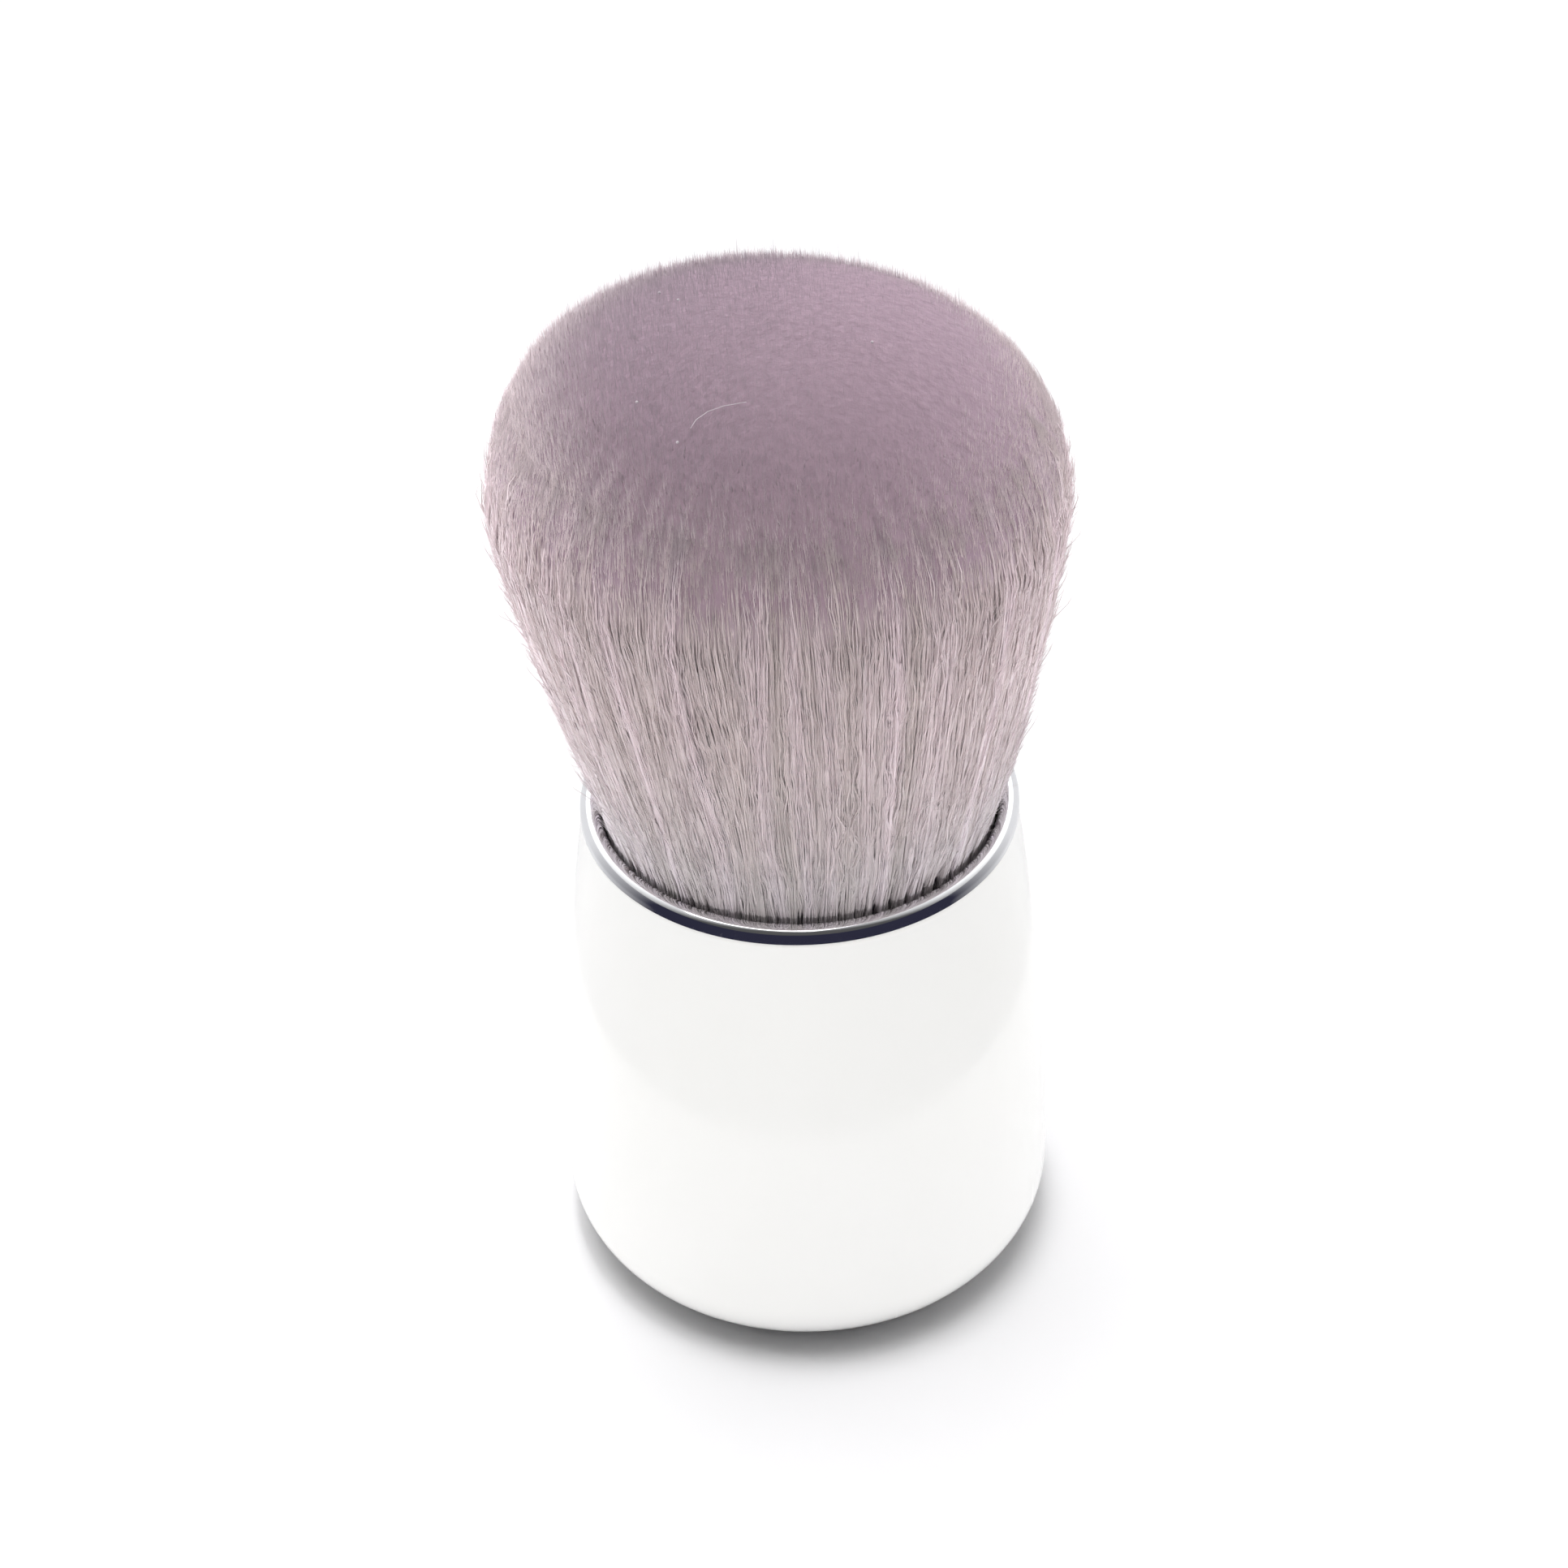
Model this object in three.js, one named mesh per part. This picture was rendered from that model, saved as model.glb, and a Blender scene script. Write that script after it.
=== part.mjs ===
// Nail dust brush: a palm-held brush with a weighted barrel handle, a metal ferrule with
// a rolled rim and a dense domed bundle of soft fibres.
// Millimetres and degrees, +Z up, origin at the centre of the base that it stands on.
import * as THREE from 'three';

// Handle
const HANDLE_HEIGHT = 39.3;       // base to the lip that carries the ferrule's rim
const HANDLE_RADIUS = 18.6;       // widest, just above the base fillet
const BASE_FILLET = 5.3;
const BELLY_FULLNESS = 0.65;      // share of the side's rise over which it stays full
const SHOULDER_FULLNESS = 0.3;    // share of the side's rise over which it turns in to the neck
const NECK_TAPER = 7;             // lean of the side where it reaches the lip
const LIP_WALL = 0.9;             // handle wall beside the ferrule, at the lip
const LIP_FILLET = 0.4;
const FLOOR_THICKNESS = 4.2;
const SEAT_LEDGE = 0.85;          // step between the ferrule's bore and the hollow below it
const GROOVE_DROP = 7;            // lip to the top of the glue groove in the bore
const GROOVE_HEIGHT = 3;
const GROOVE_DEPTH = 0.5;

// Ferrule
const FERRULE_INNER_RADIUS = 14.5;
const FERRULE_WALL = 0.4;
const FERRULE_DEPTH = 17;         // lip to the ferrule's bottom
const FERRULE_BEND = 0.4;         // outside radius of the bottom edge
const FERRULE_HEM = 3;            // width of the turned-in bottom edge
const RIM_OVERHANG = 1.1;         // how far the rolled rim stands out past the tube
const RIM_ROLL = 0.75;            // radius of the roll
const RIM_SKIRT = 0.35;           // straight wall of the rim, under the roll

// Fibre bundle
const HEAD_HEIGHT = 40.7;         // lip to the top of the dome
const HEAD_RADIUS = 20.05;        // widest
const HEAD_WIDEST = 28.4;         // lip to the widest level
const FLARE_ANGLE = 10.85;        // lean of the fibres where they leave the rim
const FLARE_FULLNESS = 0.4;       // share of the flare's rise that keeps that lean
const CROWN_FULLNESS = 0.24;      // share of the flare's rise that stands upright below the dome
const DOME_FULLNESS = 0.62;       // 0.55 would be a true ellipse
const BUNDLE_LEAN = 2.2;          // lean of the free fibres to the left
const DOME_TILT = 1.4;            // fall of the dome to the right
const FLEX_RISE = 8;              // lip to the level that the bundle bends about
const SKIRT_ANGLE = 11;           // below level, from the bend's centre to the head's lower edge
const CUP_EDGE = 0.8;             // width of the root's upper edge
const TIE_WAIST_RADIUS = 12.6;    // root where the thread pulls it in
const TIE_HEIGHT = 5.6;           // root's bottom to the top of the waist
const ROOT_FLARE = 2.2;           // rise from the waist to the full root

// Resin, thread and adhesive
const PLUG_FLOOR = 1.8;
const PLUG_COVER = 1.6;           // how deep the root stands in the resin
const THREAD_DIAMETER = 0.7;
const THREAD_TURNS = 4;
const THREAD_SPACING = 0.08;      // between one turn and the next
const GLUE_WIDTH = 2;             // bead over the weight
const GLUE_HEIGHT = 2;

// Weight
const SLUG_HEIGHT = 6;
const SLUG_CHAMFER = 0.5;

// Clearances
const BORE_CLEARANCE = 0.15;      // ferrule in the handle's bore
const SEAT_CLEARANCE = 0.3;       // under the ferrule, so that its rim seats on the lip
const ROOT_CLEARANCE = 0.3;       // root in the ferrule
const FLEX_CLEARANCE = 0.5;       // bending head past the rim
const FLEX_GAP = 0.3;             // bending head over the root
const SLUG_CLEARANCE = 0.15;      // weight in the handle's hollow
const FILM_GAP = 0.05;            // cured adhesive beside the faces that it holds
const THREAD_GAP = 0.15;          // thread round the root, and above the resin

// Facets
const ROUND_STEPS = 48;
const BASE_FILLET_STEPS = 6;
const SIDE_STEPS = 10;
const LIP_FILLET_STEPS = 3;
const BEND_STEPS = 2;
const ROLL_STEPS = 8;
const BALL_STEPS = 8;
const CUP_STEPS = 7;
const FLARE_STEPS = 8;
const DOME_STEPS = 8;
const THREAD_STEPS_PER_TURN = 24;
const THREAD_SIDES = 6;

// Finishes
const WHITE_ABS = { color: 0xf7f7f4, roughness: 0.12, metalness: 0 };
const TURNED_STEEL = { color: 0x84868a, roughness: 0.45, metalness: 1 };
const HOT_MELT = { color: 0xe9e2cf, roughness: 0.4, metalness: 0 };
const BRIGHT_METAL = { color: 0xd9dade, roughness: 0.08, metalness: 1 };
const CURED_ADHESIVE = { color: 0xdcd6c4, roughness: 0.35, metalness: 0 };
const AMBER_RESIN = { color: 0xc9a25e, roughness: 0.25, metalness: 0 };
const WAXED_THREAD = { color: 0xe6e1d6, roughness: 0.85, metalness: 0 };
const SHADED_FIBRE = { color: 0x8d8184, roughness: 0.8, metalness: 0 };
const MAUVE_FIBRE = { color: 0xb0a0a6, roughness: 0.8, metalness: 0 };

// Sizes that follow from the ones above
const FERRULE_OUTER_RADIUS = FERRULE_INNER_RADIUS + FERRULE_WALL;
const FERRULE_BOTTOM = HANDLE_HEIGHT - FERRULE_DEPTH;
const RIM_RADIUS = FERRULE_OUTER_RADIUS + RIM_OVERHANG;
const ROLL_CENTRE_RADIUS = RIM_RADIUS - RIM_ROLL;
const ROLL_CENTRE_LEVEL = HANDLE_HEIGHT + RIM_SKIRT;
const BORE_RADIUS = FERRULE_OUTER_RADIUS + BORE_CLEARANCE;
const BORE_FLOOR = FERRULE_BOTTOM - SEAT_CLEARANCE;
const HOLLOW_RADIUS = BORE_RADIUS - SEAT_LEDGE;
const GROOVE_TOP = HANDLE_HEIGHT - GROOVE_DROP;
const GROOVE_BOTTOM = GROOVE_TOP - GROOVE_HEIGHT;
const GROOVE_RADIUS = BORE_RADIUS + GROOVE_DEPTH;
const SLUG_TOP = FLOOR_THICKNESS + SLUG_HEIGHT;
const FLEX_LEVEL = HANDLE_HEIGHT + FLEX_RISE;
const ROLL_DISTANCE = Math.hypot(ROLL_CENTRE_RADIUS, FLEX_LEVEL - ROLL_CENTRE_LEVEL);
const BALL_RADIUS = ROLL_DISTANCE - RIM_ROLL - FLEX_CLEARANCE;
const ROOT_RADIUS = FERRULE_INNER_RADIUS - ROOT_CLEARANCE;
const PLUG_BOTTOM = FERRULE_BOTTOM + FERRULE_WALL;
const ROOT_BOTTOM = PLUG_BOTTOM + PLUG_FLOOR;
const PLUG_TOP = ROOT_BOTTOM + PLUG_COVER;

const radians = THREE.MathUtils.degToRad;
const at = (radius, level) => new THREE.Vector2(radius, level);

// Points along a round stretch of an outline
function arc(centreRadius, centreLevel, radius, fromAngle, toAngle, steps) {
  const clockwise = toAngle < fromAngle;
  const start = radians(fromAngle);
  const end = radians(toAngle);
  const curve = new THREE.EllipseCurve(
    centreRadius, centreLevel, radius, radius, start, end, clockwise);
  return curve.getPoints(steps);
}

// Points along a smooth stretch of an outline, pulled towards two handles
function sweep(start, startPull, endPull, end, steps) {
  const curve = new THREE.CubicBezierCurve(start, startPull, endPull, end);
  return curve.getPoints(steps);
}

// A solid turned about the Z axis, from the stretches of its outline
function turned(...stretches) {
  const sameSpot = 1e-6;
  const points = [];
  for (const point of stretches.flat()) {
    const last = points.at(-1);
    if (!last || last.distanceTo(point) > sameSpot) points.push(point);
  }
  return new THREE.LatheGeometry(points, ROUND_STEPS).rotateX(Math.PI / 2);
}

// A ring turned about the Z axis, whose outline closes on itself
function turnedRing(...stretches) {
  const outline = stretches.flat();
  return turned(outline, [outline[0].clone()]);
}

// The bundle's lean to the left and its dome's fall to the right, both growing from the foot up
function leaned(geometry, footLevel, topLevel) {
  const lean = Math.tan(radians(BUNDLE_LEAN));
  const tilt = Math.tan(radians(DOME_TILT));
  const corners = geometry.getAttribute('position');
  for (let corner = 0; corner < corners.count; corner += 1) {
    const x = corners.getX(corner);
    const z = corners.getZ(corner);
    const rise = Math.max(z - footLevel, 0);
    corners.setX(corner, x - lean * rise);
    corners.setZ(corner, z - tilt * x * rise / (topLevel - footLevel));
  }
  return geometry;
}

// Barrel with a closed floor, a stepped bore for the ferrule and a glue groove in the bore
function handleShell() {
  const lipRadius = BORE_RADIUS + LIP_WALL;
  const lipRoundLevel = HANDLE_HEIGHT - LIP_FILLET;
  const rise = lipRoundLevel - BASE_FILLET;
  const neckDrop = SHOULDER_FULLNESS * rise;
  const sideFoot = at(HANDLE_RADIUS, BASE_FILLET);
  const bellyPull = at(HANDLE_RADIUS, BASE_FILLET + BELLY_FULLNESS * rise);
  const neckPull = at(lipRadius + neckDrop * Math.tan(radians(NECK_TAPER)), lipRoundLevel - neckDrop);
  const sideTop = at(lipRadius, lipRoundLevel);
  return turned(
    [at(0, 0)],
    arc(HANDLE_RADIUS - BASE_FILLET, BASE_FILLET, BASE_FILLET, -90, 0, BASE_FILLET_STEPS),
    sweep(sideFoot, bellyPull, neckPull, sideTop, SIDE_STEPS),
    arc(lipRadius - LIP_FILLET, lipRoundLevel, LIP_FILLET, 0, 90, LIP_FILLET_STEPS),
    [
      at(BORE_RADIUS, HANDLE_HEIGHT),
      at(BORE_RADIUS, GROOVE_TOP),
      at(GROOVE_RADIUS, GROOVE_TOP),
      at(GROOVE_RADIUS, GROOVE_BOTTOM),
      at(BORE_RADIUS, GROOVE_BOTTOM),
      at(BORE_RADIUS, BORE_FLOOR),
      at(HOLLOW_RADIUS, BORE_FLOOR),
      at(HOLLOW_RADIUS, FLOOR_THICKNESS),
      at(0, FLOOR_THICKNESS),
    ],
  );
}

// Drawn cup with a turned-in bottom edge and a rolled rim that seats on the handle's lip
function ferrule() {
  const hemRadius = FERRULE_INNER_RADIUS - FERRULE_HEM;
  const bendRadius = FERRULE_OUTER_RADIUS - FERRULE_BEND;
  const bendLevel = FERRULE_BOTTOM + FERRULE_BEND;
  return turnedRing(
    [at(hemRadius, FERRULE_BOTTOM)],
    arc(bendRadius, bendLevel, FERRULE_BEND, -90, 0, BEND_STEPS),
    [
      at(FERRULE_OUTER_RADIUS, HANDLE_HEIGHT),
      at(RIM_RADIUS, HANDLE_HEIGHT),
    ],
    arc(ROLL_CENTRE_RADIUS, ROLL_CENTRE_LEVEL, RIM_ROLL, 0, 180, ROLL_STEPS),
    [
      at(FERRULE_INNER_RADIUS, HANDLE_HEIGHT),
      at(FERRULE_INNER_RADIUS, PLUG_BOTTOM),
      at(hemRadius, PLUG_BOTTOM),
    ],
  );
}

// Cured adhesive that fills the glue groove and grips the ferrule
function ferruleBond() {
  const inner = FERRULE_OUTER_RADIUS + FILM_GAP;
  const outer = GROOVE_RADIUS - FILM_GAP;
  const bottom = GROOVE_BOTTOM + FILM_GAP;
  const top = GROOVE_TOP - FILM_GAP;
  return turnedRing([at(inner, bottom), at(outer, bottom), at(outer, top), at(inner, top)]);
}

// Resin cast on the ferrule's turned-in edge, with the roots standing in it
function gluePlug() {
  const outer = FERRULE_INNER_RADIUS - FILM_GAP;
  const pocket = TIE_WAIST_RADIUS + FILM_GAP;
  return turned([
    at(0, PLUG_BOTTOM),
    at(outer, PLUG_BOTTOM),
    at(outer, PLUG_TOP),
    at(pocket, PLUG_TOP),
    at(pocket, ROOT_BOTTOM),
    at(0, ROOT_BOTTOM),
  ]);
}

// Thread whipped round the root's waist, just above the resin
function bindingThread() {
  const threadRadius = THREAD_DIAMETER / 2;
  const coilRadius = TIE_WAIST_RADIUS + THREAD_GAP + threadRadius;
  const pitch = THREAD_DIAMETER + THREAD_SPACING;
  const start = PLUG_TOP + THREAD_GAP + threadRadius;
  const steps = THREAD_TURNS * THREAD_STEPS_PER_TURN;
  const points = [];
  for (let step = 0; step <= steps; step += 1) {
    const turn = step / THREAD_STEPS_PER_TURN;
    const angle = turn * Math.PI * 2;
    const level = start + turn * pitch;
    points.push(new THREE.Vector3(coilRadius * Math.cos(angle), coilRadius * Math.sin(angle), level));
  }
  const section = new THREE.Shape();
  section.absarc(0, 0, threadRadius, 0, Math.PI * 2, false);
  return new THREE.ExtrudeGeometry(section, {
    steps,
    curveSegments: THREAD_SIDES / 2,
    extrudePath: new THREE.CatmullRomCurve3(points),
  });
}

// Part of the bundle inside the ferrule, hollowed on top so that the head can bend over it
function bristleRoot() {
  const cupRadius = BALL_RADIUS + FLEX_GAP;
  const edgeRadius = ROOT_RADIUS - CUP_EDGE;
  const edgeAngle = -THREE.MathUtils.radToDeg(Math.acos(edgeRadius / cupRadius));
  const edgeLevel = FLEX_LEVEL + cupRadius * Math.sin(radians(edgeAngle));
  const waistTop = ROOT_BOTTOM + TIE_HEIGHT;
  return turned(
    [
      at(0, ROOT_BOTTOM),
      at(TIE_WAIST_RADIUS, ROOT_BOTTOM),
      at(TIE_WAIST_RADIUS, waistTop),
      at(ROOT_RADIUS, waistTop + ROOT_FLARE),
      at(ROOT_RADIUS, edgeLevel),
    ],
    arc(0, FLEX_LEVEL, cupRadius, edgeAngle, -90, CUP_STEPS),
  );
}

// Free part of the bundle: a round underside to bend on, flared sides and a domed top, leaning a little
function bristleHead() {
  const skirt = radians(SKIRT_ANGLE);
  const flareFoot = at(BALL_RADIUS * Math.cos(skirt), FLEX_LEVEL - BALL_RADIUS * Math.sin(skirt));
  const widestLevel = HANDLE_HEIGHT + HEAD_WIDEST;
  const topLevel = HANDLE_HEIGHT + HEAD_HEIGHT;
  const flareRise = widestLevel - flareFoot.y;
  const domeRise = topLevel - widestLevel;
  const footRise = FLARE_FULLNESS * flareRise;
  const footPull = at(flareFoot.x + footRise * Math.tan(radians(FLARE_ANGLE)), flareFoot.y + footRise);
  const widest = at(HEAD_RADIUS, widestLevel);
  const crownPull = at(HEAD_RADIUS, widestLevel - CROWN_FULLNESS * flareRise);
  const domeSide = at(HEAD_RADIUS, widestLevel + DOME_FULLNESS * domeRise);
  const domeTop = at(DOME_FULLNESS * HEAD_RADIUS, topLevel);
  const upright = turned(
    arc(0, FLEX_LEVEL, BALL_RADIUS, -90, -SKIRT_ANGLE, BALL_STEPS),
    sweep(flareFoot, footPull, crownPull, widest, FLARE_STEPS),
    sweep(widest, domeSide, domeTop, at(0, topLevel), DOME_STEPS),
  );
  return leaned(upright, flareFoot.y, topLevel);
}

// Steel disc that stands on the handle's floor
function weightSlug() {
  const radius = HOLLOW_RADIUS - SLUG_CLEARANCE;
  return turned([
    at(0, FLOOR_THICKNESS),
    at(radius - SLUG_CHAMFER, FLOOR_THICKNESS),
    at(radius, FLOOR_THICKNESS + SLUG_CHAMFER),
    at(radius, SLUG_TOP - SLUG_CHAMFER),
    at(radius - SLUG_CHAMFER, SLUG_TOP),
    at(0, SLUG_TOP),
  ]);
}

// Bead of hot-melt in the corner over the weight
function weightGlue() {
  const outer = HOLLOW_RADIUS - FILM_GAP;
  return turnedRing([
    at(outer - GLUE_WIDTH, SLUG_TOP),
    at(outer, SLUG_TOP),
    at(outer, SLUG_TOP + GLUE_HEIGHT),
  ]);
}

function piece(name, geometry, finish) {
  const mesh = new THREE.Mesh(geometry, new THREE.MeshStandardMaterial(finish));
  mesh.name = name;
  return mesh;
}

const brush = new THREE.Group();
brush.add(
  piece('handle_shell', handleShell(), WHITE_ABS),
  piece('weight_slug', weightSlug(), TURNED_STEEL),
  piece('weight_glue', weightGlue(), HOT_MELT),
  piece('ferrule', ferrule(), BRIGHT_METAL),
  piece('ferrule_bond', ferruleBond(), CURED_ADHESIVE),
  piece('glue_plug', gluePlug(), AMBER_RESIN),
  piece('binding_thread', bindingThread(), WAXED_THREAD),
  piece('bristle_root', bristleRoot(), SHADED_FIBRE),
  piece('bristle_head', bristleHead(), MAUVE_FIBRE),
);

export default brush;
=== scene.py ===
"""Looks of the nail dust brush: a glossy white barrel, a bright rolled ferrule and a dense
domed bundle of fine mauve-grey fibres, standing on a plain pale floor in soft light.

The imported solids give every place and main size. Sizes below are in millimetres, times MM.
"""
import math

import bpy
import numpy as np
from mathutils import Matrix, Vector


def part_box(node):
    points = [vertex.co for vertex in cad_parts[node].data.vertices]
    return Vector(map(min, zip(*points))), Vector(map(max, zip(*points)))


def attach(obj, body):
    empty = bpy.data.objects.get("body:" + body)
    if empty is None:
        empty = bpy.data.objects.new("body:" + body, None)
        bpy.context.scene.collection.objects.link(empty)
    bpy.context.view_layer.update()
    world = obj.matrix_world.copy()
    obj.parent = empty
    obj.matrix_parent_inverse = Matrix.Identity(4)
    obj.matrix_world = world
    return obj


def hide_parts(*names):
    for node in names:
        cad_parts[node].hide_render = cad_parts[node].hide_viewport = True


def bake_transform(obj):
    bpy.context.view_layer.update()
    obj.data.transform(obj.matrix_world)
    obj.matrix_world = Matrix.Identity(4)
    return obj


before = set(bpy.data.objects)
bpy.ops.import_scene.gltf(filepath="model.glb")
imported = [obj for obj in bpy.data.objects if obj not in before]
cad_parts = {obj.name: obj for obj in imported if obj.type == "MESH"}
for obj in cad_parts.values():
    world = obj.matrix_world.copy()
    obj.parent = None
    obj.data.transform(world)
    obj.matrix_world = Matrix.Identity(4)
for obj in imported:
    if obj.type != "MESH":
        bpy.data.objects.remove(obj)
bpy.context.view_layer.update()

MM = 0.001

# Main sizes, read from the solids
handle_low, handle_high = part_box("handle_shell")
ferrule_low, ferrule_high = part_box("ferrule")
root_low, root_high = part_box("bristle_root")
head_low, head_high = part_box("bristle_head")
slug_low, slug_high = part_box("weight_slug")
LIP_LEVEL = handle_high.z
HANDLE_RADIUS = handle_high.x
RIM_RADIUS = ferrule_high.x
RIM_HEIGHT = ferrule_high.z - LIP_LEVEL
FERRULE_BOTTOM = ferrule_low.z
ROOT_RADIUS = root_high.x
ROOT_BOTTOM = root_low.z
HEAD_RADIUS = head_high.y
HEAD_HEIGHT = head_high.z - LIP_LEVEL

# Handle
BASE_FILLET = 5.3 * MM
BELLY_FULLNESS = 0.65
SHOULDER_FULLNESS = 0.3
NECK_TAPER = math.radians(7)
LIP_RADIUS = 15.95 * MM
LIP_FILLET = 0.4 * MM
BORE_RADIUS = 15.05 * MM
BORE_FLOOR = FERRULE_BOTTOM - 0.3 * MM
HOLLOW_RADIUS = 14.2 * MM
FLOOR_THICKNESS = slug_low.z
BASE_RING_RADIUS = 10.6 * MM
BASE_RING_WIDTH = 0.5 * MM
BASE_RING_DEPTH = 0.2 * MM

# Ferrule
FERRULE_WALL = 0.4 * MM
FERRULE_INNER_RADIUS = ROOT_RADIUS + 0.3 * MM
FERRULE_HEM = 3.0 * MM
RIM_ROLL = 0.75 * MM

# Fibre bundle
ROOT_FACE = -3.0 * MM            # level, from the lip, where the modelled fibres start
MOUTH_RADIUS = 14.15 * MM        # bundle at the rim
WIDEST_LEVEL = 28.4 * MM         # from the lip
FLARE_POWER = 1.3
DOME_POWER = 2.25
LEAN_FOOT = 4.8 * MM              # above the lip
BUNDLE_LEAN = math.tan(math.radians(2.2))
DOME_TILT = 0.025
FIBRE_RADIUS = 0.07 * MM
TIP_RADIUS_SHARE = 0.25
TAPER_LENGTH = 6.0 * MM
FIBRE_TWIST = math.radians(20)
CHART_WIDTH = 0.02               # of one fibre on the colour chart
FIBRE_LENGTH = 44.0 * MM         # longest fibre, from the root face to the dome
CORE_DEPTH = 0.45 * MM           # packed core, below the fibres that show
CORE_STEPS = 15
DOME_STEPS = 181
SCATTER_SLIP = 0.08 * MM
PROUD_SHARE = 0.5                # fibres that stand proud of the rest
PROUD_LENGTH = 0.22 * MM
SHOULDER_REACH = 1.6 * MM        # outer fibres lie this far up over the dome's shoulder
SKIN_INSET = 0.08 * MM           # middle of the outermost fibres, inside the bundle's outline
BROAD_DRIFT_DEPTH = 0.15 * MM
RELIEF_DEPTH = 0.03 * MM
FOOT_LOCK_HEIGHT = 3.5 * MM      # locks and gaps where the fibres leave the rim
FOOT_LOCK_DRIFT = 0.15 * MM
FOOT_LOCK_DEPTH = 0.25 * MM
SPLAY_DEPTH = 0.28 * MM          # locks that stand out at the left shoulder
SPLAY_WIDTH = 0.3                # radians
SPLAY_RISE = (19 * MM, 24.5 * MM)
SPLAY_FALL = (25 * MM, 30.5 * MM)
SPLAY_RETURN = 1.2
DOME_NAP_SLIP = 0.22 * MM
DOME_NAP_LENGTH = 6 * MM
FUZZ_FOOT = 0.6 * MM             # of the dome's fuzz, below the dome

# How many fibres each piece has
OUTER_FIBRES = 3500
INNER_FIBRES = 4600
STRANDS = 3600
DOME_FIBRES = 16000
DOME_FUZZ = 12000                # before most of the front's are left out
SIDE_FUZZ = 14000
FLYAWAYS = 3800

# Dye: mauve tips, pale lengths. Each stop is the place from root to tip and its colour
LILAC_DYE = (
    (0.0, (0.6, 0.535, 0.57)), (0.12, (0.68, 0.586, 0.613)), (0.35, (0.7, 0.587, 0.617)),
    (0.6, (0.65, 0.536, 0.569)), (0.75, (0.5, 0.41, 0.448)), (0.88, (0.325, 0.25, 0.288)),
    (0.97, (0.208, 0.156, 0.188)))
BEIGE_DYE = (
    (0.0, (0.61, 0.56, 0.55)), (0.12, (0.69, 0.607, 0.595)), (0.35, (0.712, 0.606, 0.589)),
    (0.6, (0.652, 0.548, 0.536)), (0.75, (0.495, 0.417, 0.424)), (0.88, (0.325, 0.257, 0.272)),
    (0.97, (0.206, 0.158, 0.182)))
DYE_LOTS = 48.0
PALE_REACH = 0.42                # way along the chart from mauve tip to pale length
PALE_START = 13.5 * MM           # before the dome's edge, at the front
PAINTED_LIGHT_START_ASIDE = 4 * MM        # further before it at the flanks, and a little less at the back, as painted light
PALE_END = 1.0 * MM
# Where the paling ends, further on at the flanks and back: painted light as well
PAINTED_LIGHT_END_ASIDE = 1.5 * MM
PALE_STREAK = 1.1 * MM
PALE_SPREAD = 0.5 * MM
HUE_PATCH_DEPTH = 0.2
HUE_SPREAD = 0.07
REACH_SPREAD = 0.025

# Lint on the dome: the way right and back from the brush's axis, in millimetres
LINT_HAIR = ((-6.4, -10.4), (-6.05, -9.8), (-5.3, -9.25), (-4.3, -8.9), (-2.8, -8.65))
LINT_SPECKS = ((-9.9, -7.3), (-7.3, 3.6), (-8.6, 5.2), (5.5, -1.8), (-7.25, -11.2))
LINT_HAIR_RADIUS = 0.025 * MM
LINT_SPECK_RADIUS = 0.1 * MM
LINT_LIFT = 0.08 * MM            # of the hair above the dome, among the proud tips
SPECK_SINK = 0.02 * MM           # of a speck into the dome

# Camera, worked out from the photograph's outline
FRAME_PIXELS = 1932
VIEW_ANGLE = math.radians(24)
CAMERA_ELEVATION = math.radians(38.7)
CAMERA_ROLL = math.radians(1.39)
CAMERA_DISTANCE = 268.9 * MM
MOUTH_LEVEL = 39.2 * MM
MOUTH_PIXEL = (985.2, 988.6)

# Stage
FLOOR_SIZE = 4.0
FLOOR_DROP = 0.02 * MM           # keeps the floor from lying in the same plane as the base

# Room seen only in polished surfaces, as a ring on the floor and a low wall: a painted reflection, dark in
# front and glowing pale behind
DARK_NEAR = 50 * MM
DARK_FAR = 500 * MM
DARK_LIFT = 0.5 * MM
DARK_HEIGHT = 280 * MM

# Light: where lamps aim, in metres, and their tints
HEAD_AIM = (0, 0, 0.06)
DOME_AIM = (0, 0, 0.07)
MIDDLE_AIM = (0, 0, 0.05)
MOUTH_AIM = (0, 0, 0.03)
HANDLE_AIM = (0, 0, 0.02)
FLOOR_AIM = (0, 0, 0)
PLAIN_LIGHT = (1, 1, 1)
COOL_LIGHT = (0.98, 0.99, 1.05)
WARM_LIGHT = (1.0, 0.995, 0.975)
ROOM_LIGHT = (0.985, 0.99, 1.0)

LATHE_STEPS = 160
SAME_SPOT = 1e-7
MERGE_DISTANCE = 1e-6
EDGE_ANGLE = math.radians(40)
rng = np.random.default_rng(20417)


# Modelling helpers

def deselect_everything():
    if bpy.context.mode != "OBJECT":
        bpy.ops.object.mode_set(mode="OBJECT")
    bpy.ops.object.select_all(action="DESELECT")


def arc(centre, radii, start, end, steps):
    """Points along a round or oval stretch of an outline, angles in degrees."""
    angles = np.radians(np.linspace(start, end, steps + 1))
    return [(centre[0] + radii[0] * math.cos(a), centre[1] + radii[1] * math.sin(a)) for a in angles]


def sweep(start, start_pull, end_pull, end, steps):
    """Points along a smooth stretch of an outline, pulled towards two handles."""
    t = np.linspace(0, 1, steps + 1)[:, None]
    p0, p1, p2, p3 = (np.array(p) for p in (start, start_pull, end_pull, end))
    points = (1 - t) ** 3 * p0 + 3 * (1 - t) ** 2 * t * p1 + 3 * (1 - t) * t ** 2 * p2 + t ** 3 * p3
    return [tuple(p) for p in points]


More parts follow.
